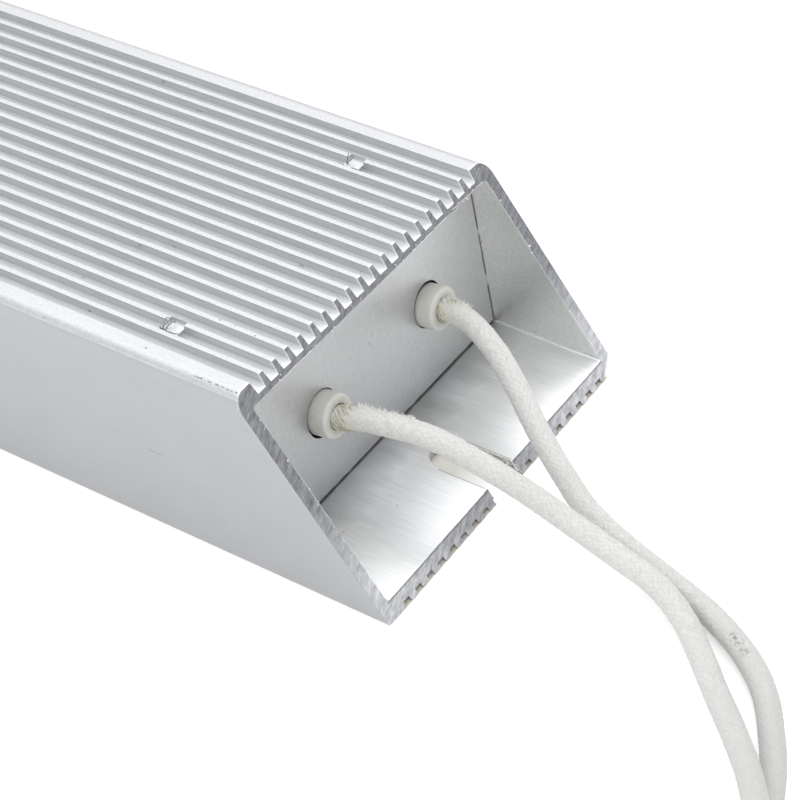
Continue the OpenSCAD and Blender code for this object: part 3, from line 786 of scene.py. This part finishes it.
def weave_height(turn, along):
    """Height of the uneven crossing strands from 0 to 1, and which way the upper one runs."""
    ring = Vector((math.cos(2 * math.pi * turn), math.sin(2 * math.pi * turn), along / MM * 0.35))
    wander = 0.3 * noise.noise(ring * 0.9)
    a = turn * WEAVE_CARRIERS + along / WEAVE_LAY + wander
    b = turn * WEAVE_CARRIERS - along / WEAVE_LAY + 0.3 * noise.noise(ring * 0.9 + Vector((9, 4, 2)))
    over = (math.floor(a) + math.floor(b)) % 2 == 0
    ridge = abs(math.sin(math.pi * (a if over else b))) ** 0.5
    dip = abs(math.sin(math.pi * (b if over else a))) ** 0.3
    fullness = 0.72 + 0.5 * noise.noise(Vector((math.floor(a) * 0.7, math.floor(b) * 0.7, 3)))
    return ridge * (0.3 + 0.7 * dip) * fullness, over


def braided_tube(side, name, node):
    """Woven sleeve of one lead."""
    route = lead_route(side)
    path = smooth_path(route, PATH_STEP)
    frames = path_frames(path)
    bm = bmesh.new()
    bm.loops.layers.uv.new("weave")
    bmesh.ops.create_grid(bm, x_segments=SLEEVE_STEPS, y_segments=len(path) - 1, size=0.5, calc_uvs=True)
    depth = bm.verts.layers.float.new("weave_depth")
    upper = bm.verts.layers.float.new("weave_over")
    for vert in bm.verts:
        turn = vert.co.x + 0.5
        i = round((vert.co.y + 0.5) * (len(path) - 1))
        point, _, across, up = frames[i]
        along = i / (len(path) - 1) * LEAD_LENGTH
        height, over = weave_height(turn % 1, along)
        angle = 2 * math.pi * turn - math.pi / 2
        swell = noise.noise(Vector((math.cos(angle), math.sin(angle), along * 260)))
        radius = LEAD_DIAMETER / 2 - WEAVE_RELIEF * (1 - height) + 0.04 * MM * (swell - 0.9)
        vert.co = point + radius * (math.cos(angle) * across + math.sin(angle) * up)
        vert[depth] = height
        vert[upper] = over
    bmesh.ops.remove_doubles(bm, verts=bm.verts, dist=0.001 * MM)
    open_edges = [e for e in bm.edges if e.is_boundary]
    bmesh.ops.holes_fill(bm, edges=open_edges, sides=0)
    bmesh.ops.recalc_face_normals(bm, faces=bm.faces)
    lead = piece_from(bm, name, braid, node, 70)
    return lead


def strand(bm, points, radii):
    """A thin closed strand through the points, with a radius at each."""
    rings = []
    for point, _, across, up in path_frames(points):
        radius = radii[len(rings)]
        rings.append([bm.verts.new(point + radius * (math.cos(t) * across + math.sin(t) * up))
                      for t in (0, 2.094, 4.189)])
    for near, far in zip(rings, rings[1:]):
        for k in range(3):
            bm.faces.new((near[k], near[k - 2], far[k - 2], far[k]))
    bm.faces.new(rings[0][::-1])
    bm.faces.new(rings[-1])


def frayed_hairs(side, name, dense_from, dense_to):
    """Short broken fibres: many on the side away from the slot near the exit, few further on."""
    dice = random.Random(7 + side)
    path = smooth_path(lead_route(side), PATH_STEP)
    frames = path_frames(path)
    bm = bmesh.new()
    for k in range(210):
        dense = k < 110
        start = dice.uniform(dense_from, dense_to) if dense else dice.uniform(4, 145)
        point, tangent, _, _ = frames[int(start * MM / PATH_STEP)]
        if dense:
            out = Vector((0, 0.7, 0.7)) + Vector([dice.uniform(-0.5, 0.5) for _ in range(3)])
        else:
            out = Vector((dice.uniform(-1, 1), dice.uniform(-1, 1), dice.uniform(-0.2, 1)))
        out = (out - tangent * out.dot(tangent)).normalized()
        lean = (tangent * dice.choice((-1, 1)) * dice.uniform(0.3, 1.2) + out).normalized()
        length = dice.uniform(0.25, 0.7) * MM if dense else dice.uniform(0.2, 0.5) * MM
        curl = Vector([dice.uniform(-0.5, 0.5) for _ in range(3)])
        foot = point + out * (LEAD_DIAMETER / 2 - 0.1 * MM)
        points = [foot + lean * (length * t) + curl * (length * t * t) for t in (0, 0.4, 0.7, 1)]
        if min(p.z for p in points) > 0.1 * MM:
            thick = 0.075 * MM if dense else 0.04 * MM
            strand(bm, points, [thick, thick * 0.9, thick * 0.6, thick * 0.25])
    return piece_from(bm, name, loose_fibre, smooth_angle=60)


def inner_strands(side, name):
    """Bare inner fibres of the braid, twisted round its end where it leaves the bushing."""
    dice = random.Random(11 + side)
    path = smooth_path(lead_route(side), PATH_STEP)
    frames = path_frames(path)
    bm = bmesh.new()
    for k in range(16):
        turn = math.tau * (k + dice.uniform(-0.3, 0.3)) / 16
        start, end = dice.randint(5, 8), dice.randint(12, 19)
        points, radii = [], []
        for step in range(start, end + 1):
            point, _, across, up = frames[step]
            angle = turn + 0.16 * (step - start)
            out = math.cos(angle) * across + math.sin(angle) * up
            lift = 0.02 * (step - start) * dice.uniform(0.2, 1.0)
            points.append(point + out * (LEAD_DIAMETER / 2 - 0.06 * MM + min(lift, 0.12) * MM))
            radii.append((0.13 if step < end else 0.05) * MM)
        strand(bm, points, radii)
    bmesh.ops.recalc_face_normals(bm, faces=bm.faces)
    return piece_from(bm, name, bare_fibre, smooth_angle=60)


def stake_slivers():
    """Thin curls of metal that the staking punch raised at both ends of the housing; their dark tone is
    painted shade, and a strand along the first stake's crack stands in for the crack's shadow.
    """
    bm = bmesh.new()
    curls = {
        STAKE_GROOVES[0]: [
            [(0.3, 0.5, -0.05), (0.15, 0.8, 0.5), (0.1, 1.2, 1.0), (0.25, 1.6, 1.3), (0.5, 1.9, 1.1),
             (0.55, 1.9, 0.6)],
            [(0.35, 0.8, 0.0), (0.5, 1.2, 0.25), (0.7, 1.7, 0.45), (0.9, 2.1, 0.6)],
            [(0.9, 2.1, 0.3), (1.0, 2.2, 0.55), (1.15, 2.25, 0.6)],
            # Painted shade: a strand along the groove's edge that stands for the shadow in the crack
            [(-0.15, 0.5, 0.3), (0.05, 0.15, 0.52), (1.2, 0.08, 0.5), (2.4, 0.1, 0.52),
             (2.7, 0.3, 0.45), (2.75, 0.7, 0.2)],
        ],
        STAKE_GROOVES[1]: [
            [(0.3, 1.0, -0.1), (0.35, 1.3, 0.5), (0.3, 1.6, 1.0), (0.25, 1.8, 1.4)],
            [(0.3, 1.0, -0.1), (0.55, 1.3, 0.3), (0.8, 1.7, 0.6), (1.0, 2.0, 0.8)],
            [(1.9, 0.1, 0.45), (2.5, 0.15, 0.42), (2.9, 0.3, 0.3)],
            [(-0.1, 0.15, 0.1), (-0.3, 0.3, 0.2), (-0.5, 0.4, 0.1)],
            [(0.05, 0.3, 0.0), (0.25, 0.45, 0.2), (0.45, 0.5, 0.0)],
        ],
    }
    for end in (1, -1):
        for groove, paths in curls.items():
            middle = (groove - (GROOVE_COUNT - 1) / 2) * GROOVE_PITCH
            corner = Vector((STAKE_X - STAKE_LENGTH / 2, middle - GROOVE_MOUTH / 2,
                             HEIGHT - STAKE_DEPTH))
            for path in paths:
                points = [corner + Vector(p) * MM for p in path]
                points = [Vector((end * p.x, p.y, p.z)) for p in points]
                radii = [(0.13 - 0.07 * i / (len(points) - 1)) * MM for i in range(len(points))]
                strand(bm, points, radii)
    bmesh.ops.recalc_face_normals(bm, faces=bm.faces)
    return piece_from(bm, "stake_slivers", shaded_sliver_metal, smooth_angle=60)


def crumb(bm, place, size, dice):
    """One angular crumb, partly sunk in what it sits on."""
    made = bmesh.ops.create_icosphere(bm, subdivisions=1, radius=size)["verts"]
    stretch = [dice.uniform(0.6, 1.3) for _ in range(3)]
    for vert in made:
        jag = dice.uniform(0.7, 1.25)
        vert.co = place + Vector([c * k * jag for c, k in zip(vert.co, stretch)])


def sawn_end_x(z):
    """Where the sloping sawn end lies at height z, both in millimetres."""
    return TOP_EDGE_X / MM + (HEIGHT / MM - z) * END_OVERHANG / HEIGHT


def saw_burrs():
    """Bright flakes left along the inner edges of the two sawn ends."""
    dice = random.Random(21)
    bm = bmesh.new()
    for end in (1, -1):
        for _ in range(46):
            edge = dice.random()
            if edge < 0.5:
                y, z = dice.uniform(-27, 27), HEIGHT / MM - TOP_WALL / MM + dice.uniform(-0.1, 0.5)
            else:
                y, z = -HALF_WIDTH / MM + SIDE_WALL / MM - dice.uniform(-0.1, 0.4), dice.uniform(4, 27)
                y = y if edge < 0.85 else -y
            x = sawn_end_x(z)
            crumb(bm, Vector((end * x, y, z)) * MM, dice.uniform(0.05, 0.16) * MM, dice)
    return piece_from(bm, "saw_burrs", bright_burr, smooth_angle=20)


def burr_lines():
    """Raised bright threads of metal along parts of the sawn edges, and one across a top corner."""
    dice = random.Random(3)
    bm = bmesh.new()
    inner_y = HALF_WIDTH / MM - SIDE_WALL / MM + 0.05
    inner_z = HEIGHT / MM - TOP_WALL / MM + 0.05
    seam_z = FLOOR_WALL / MM - 0.05
    runs = [((-24, inner_z), (-15, inner_z)), ((9, inner_z), (19, inner_z + 0.1)),
            ((19.5, inner_z + 0.2), (27.2, inner_z + 0.1)), ((inner_y, 26.5), (inner_y, 18)),
            ((inner_y, 9), (inner_y, 4)), ((-inner_y, 20), (-inner_y, 12)),
            ((-inner_y, 11), (-inner_y, 2.6)), ((-26, seam_z), (-4, seam_z)),
            ((5, seam_z), (27, seam_z)), ((24.5, 28.4), (28.2, 29.4))]
    for end in (1, -1):
        for (y0, z0), (y1, z1) in runs:
            count = max(4, round(math.hypot(y1 - y0, z1 - z0) / 0.5))
            points, radii = [], []
            for i in range(count + 1):
                y, z = y0 + (y1 - y0) * i / count, z0 + (z1 - z0) * i / count
                z += dice.uniform(-0.04, 0.04)
                x = sawn_end_x(z)
                points.append(Vector((end * x, y + dice.uniform(-0.04, 0.04), z)) * MM)
                radii.append(dice.uniform(0.03, 0.085) * MM)
            strand(bm, points, radii)
    bmesh.ops.recalc_face_normals(bm, faces=bm.faces)
    return piece_from(bm, "burr_lines", bright_burr, smooth_angle=60)


def slot_swarf():
    """Swarf packed against the right side of the front mounting slot."""
    dice = random.Random(5)
    bm = bmesh.new()
    for _ in range(70):
        x = dice.uniform(74, FOOT_X / MM - 0.3)
        z = dice.uniform(0.25, 2.0)
        y = SLOT_WIDTH / MM / 2 - dice.uniform(-0.05, 0.12)
        crumb(bm, Vector((x, y, z)) * MM, dice.uniform(0.1, 0.28) * MM, dice)
    return piece_from(bm, "slot_swarf", swarf, smooth_angle=20)


def ring_terminal(side, name, node):
    """Tin-plated ring with a crimped barrel and cut wires in it, flat at the end of a lead."""
    route = lead_route(side)
    end, direction = route[-1], (route[-1] - route[-2]).normalized()
    ring_x = BARREL_LENGTH + RING_RADIUS
    ring = spin_profile([(RING_BORE_RADIUS, 0), (RING_RADIUS, 0),
                         (RING_RADIUS, RING_THICKNESS), (RING_BORE_RADIUS, RING_THICKNESS)], 48)
    for radius in (RING_BORE_RADIUS, RING_RADIUS):
        round_edges(ring, ring_edges(ring, radius, RING_THICKNESS), 0.15 * MM, 3)
    bmesh.ops.transform(ring, matrix=Matrix.Translation((ring_x, 0, -REST_Z)), verts=ring.verts)
    mesh = bpy.data.meshes.new(name + "_ring")
    ring.to_mesh(mesh)
    ring.free()
    wall = [(BARREL_RADIUS, (1.2 + 0.4 * k) * MM) for k in range(9)]
    barrel = spin_profile([(BARREL_BORE_RADIUS, 0), (BARREL_RADIUS, 0), *wall,
                           (BARREL_RADIUS, BARREL_LENGTH), (BARREL_BORE_RADIUS, BARREL_LENGTH)], 40)
    for height in (0, BARREL_LENGTH):
        round_edges(barrel, ring_edges(barrel, BARREL_RADIUS, height), 0.2 * MM, 3)
    bmesh.ops.transform(barrel, matrix=Matrix.Rotation(math.pi / 2, 4, "Y"), verts=barrel.verts)
    for vert in barrel.verts:
        near = max(0.0, 1 - abs(vert.co.x - CRIMP_X) / CRIMP_SPAN)
        high = max(0.0, vert.co.z / BARREL_RADIUS)
        vert.co.z -= CRIMP_DEPTH * min(1.0, 2 * near) * high * high
    for k in range(OUTER_WIRES + 1):
        reach = WIRE_CIRCLE_RADIUS if k else 0.0
        turn = math.tau * k / OUTER_WIRES
        wire = Matrix.Translation((BARREL_LENGTH - (0.9 + 0.12 * (k % 3)) * MM,
                                   reach * math.cos(turn), reach * math.sin(turn)))
        wire = wire @ Matrix.Rotation(math.pi / 2, 4, "Y")
        bmesh.ops.create_cone(barrel, cap_ends=True, segments=12, radius1=WIRE_RADIUS,
                              radius2=0.29 * MM, depth=2.4 * MM, matrix=wire)
    tongue = bmesh.ops.create_cube(barrel, size=1)["verts"]
    length = RING_RADIUS - RING_BORE_RADIUS + 1.6 * MM
    shape = Matrix.Translation((BARREL_LENGTH + length / 2 - 1.4 * MM, 0, RING_THICKNESS / 2 - REST_Z))
    shape = shape @ Matrix.Diagonal((length, 2.1 * BARREL_RADIUS, RING_THICKNESS - 0.12 * MM, 1))
    bmesh.ops.transform(barrel, matrix=shape, verts=tongue)
    barrel.from_mesh(mesh)
    place = Matrix.Translation(end) @ Matrix.Rotation(math.atan2(direction.y, direction.x), 4, "Z")
    bmesh.ops.transform(barrel, matrix=place, verts=barrel.verts)
    return piece_from(barrel, name, tin, node, 35)


# ---------------------------------------------------------------- camera, light and floor


def camera():
    data = bpy.data.cameras.new("camera")
    data.lens = 103.32
    data.sensor_width = 36
    data.clip_start = 0.01
    made = bpy.data.objects.new("camera", data)
    made.location = (0.2073, -0.1932, 0.2216)
    made.rotation_euler = Euler([math.radians(a) for a in (48.36, 3.17, 33.60)])
    bpy.context.scene.collection.objects.link(made)
    bpy.context.scene.camera = made


def softbox(name, place, aim, size, power):
    data = bpy.data.lights.new(name, "AREA")
    data.shape = "RECTANGLE"
    data.size, data.size_y = size
    data.energy = power
    made = bpy.data.objects.new(name, data)
    made.location = place
    made.rotation_euler = (Vector(aim) - Vector(place)).to_track_quat("-Z", "Y").to_euler()
    bpy.context.scene.collection.objects.link(made)


def white_to_the_eye(s, lit_surface, level):
    """Adds a little white where the camera or a reflection looks, and keeps the shadow."""
    rays = s.node("ShaderNodeLightPath").outputs
    seen = s.larger(rays["Is Camera Ray"], rays["Is Glossy Ray"])
    seen = s.larger(seen, rays["Is Transmission Ray"])
    glow = s.node("ShaderNodeEmission")
    s.join(s.times(seen, level), glow.inputs["Strength"])
    both = s.node("ShaderNodeAddShader")
    s.join(lit_surface, both.inputs[0])
    s.join(glow.outputs[0], both.inputs[1])
    return both.outputs[0]


def floor():
    bm = bmesh.new()
    bmesh.ops.create_grid(bm, x_segments=1, y_segments=1, size=3)
    mesh = bpy.data.meshes.new("floor")
    bm.to_mesh(mesh)
    bm.free()
    made = bpy.data.objects.new("floor", mesh)
    made.location.z = -0.05 * MM
    bpy.context.scene.collection.objects.link(made)
    paper = bpy.data.materials.new("paper_floor")
    paper.use_nodes = True
    s = Shader(paper.node_tree)
    s.nodes.remove(s.nodes["Principled BSDF"])
    x, y, _ = s.parts(object_coordinates(s))
    far_y = s.absolute(y)
    # Painted shade: under the body and along the slot the floor is a darker beige without the white glow
    open_floor = s.larger(s.between(s.absolute(x), FOOT_X - 0.1 * MM, FOOT_X + 0.1 * MM),
                          s.between(far_y, 27 * MM, 28 * MM))
    in_slot = s.times(s.below(far_y, SLOT_WIDTH / 2),
                      s.between(s.absolute(x), 74 * MM, FOOT_X - 1 * MM, 0.3, 1.0))
    open_floor = s.larger(open_floor, in_slot)
    matte = s.node("ShaderNodeBsdfDiffuse")
    s.join(s.blend(open_floor, FLOOR_PAINTED_SHADE_TONE, FLOOR_TONE), matte.inputs["Color"])
    result = s.nodes["Material Output"]
    glow = s.times(open_floor, 0.40)
    s.join(white_to_the_eye(s, matte.outputs[0], glow), result.inputs["Surface"])
    made.data.materials.append(paper)


def world():
    made = bpy.data.worlds.new("studio")
    bpy.context.scene.world = made
    made.use_nodes = True
    s = Shader(made.node_tree)
    background = s.nodes["Background"]
    background.inputs["Color"].default_value = (1, 1, 1, 1)
    seen = s.node("ShaderNodeLightPath").outputs["Is Camera Ray"]
    s.join(s.between(seen, 0.0, 1.0, 0.85, 1.0), background.inputs["Strength"])


camera()
floor()
world()
softbox("back_softbox", (-0.25, 0.35, 0.60), (0, 0, 0), (0.9, 0.7), 1.85)
softbox("overhead_softbox", (0.05, 0.05, 0.80), (0.05, 0, 0), (0.5, 0.5), 1.02)
softbox("near_softbox", (0.30, -0.60, 0.35), (0.06, -0.02, 0.01), (0.5, 0.5), 0.7)
softbox("left_softbox", (-0.55, -0.70, 0.30), (0.03, -0.02, 0.02), (0.8, 0.5), 0.98)
bpy.context.scene.view_settings.view_transform = "Standard"


# ---------------------------------------------------------------- the object

softened_copy("housing", "housing_skin", anodised, 0.12 * MM)
softened_copy("front_plate", "front_plate_skin", satin_sheet, 0.06 * MM, True)
softened_copy("rear_plate", "rear_plate_skin", satin_sheet, 0.06 * MM, True)
stake_slivers()
saw_burrs()
burr_lines()
slot_swarf()
frayed_hairs(-1, "lead_left_hairs", 3, 12)
frayed_hairs(1, "lead_right_hairs", 1, 5)
inner_strands(-1, "lead_left_inner_strands")
inner_strands(1, "lead_right_inner_strands")
for side, word in ((-1, "left"), (1, "right")):
    bushing(side, f"bushing_{word}_turned", f"bushing_{word}")
    terminal = ring_terminal(side, f"terminal_{word}_crimped", f"terminal_{word}")
    braided_tube(side, f"lead_{word}_braided", f"lead_{word}")

# Pieces inside the closed housing
INNER_FINISHES = {
    "support": ("steatite", (0.72, 0.66, 0.58), 0.06, 500.0, 0.0, 0.7),
    "core": ("core_ceramic", (0.80, 0.77, 0.70), 0.05, 450.0, 0.0, 0.65),
    "winding": ("resistance_ribbon", (0.35, 0.33, 0.30), 0.15, 900.0, 0.9, 0.42),
    "cap": ("cap_steel", (0.55, 0.56, 0.57), 0.08, 700.0, 1.0, 0.35),
    "inner_wire": ("bare_copper", (0.72, 0.40, 0.26), 0.10, 800.0, 1.0, 0.30),
    "mica": ("mica_sheet", (0.52, 0.45, 0.32), 0.14, 160.0, 0.0, 0.40),
    "cement": ("cast_cement", (0.52, 0.51, 0.47), 0.12, 700.0, 0.0, 0.88),
    "sand": ("packed_sand", (0.62, 0.55, 0.38), 0.22, 1800.0, 0.0, 0.95),
}
INNER_NODES = {
    "support": ["front_support", "rear_support"],
    "core": ["core_left", "core_right"],
    "winding": ["winding_left", "winding_right"],
    "cap": ["cap_left_front", "cap_left_rear", "cap_right_front", "cap_right_rear", "series_link"],
    "inner_wire": ["inner_wire_left", "inner_wire_right"],
    "mica": ["mica_base", "mica_top", "mica_left", "mica_right", "top_packing"],
    "cement": ["front_cement", "rear_cement"],
    "sand": ["sand_filling"],
}
for key, (name, color, spread, scale, metallic, roughness) in INNER_FINISHES.items():
    finish = plain_finish(name, color, spread, scale, metallic, roughness)
    for node in INNER_NODES[key]:
        frame["nodes"][node].data.materials.clear()
        frame["nodes"][node].data.materials.append(finish)
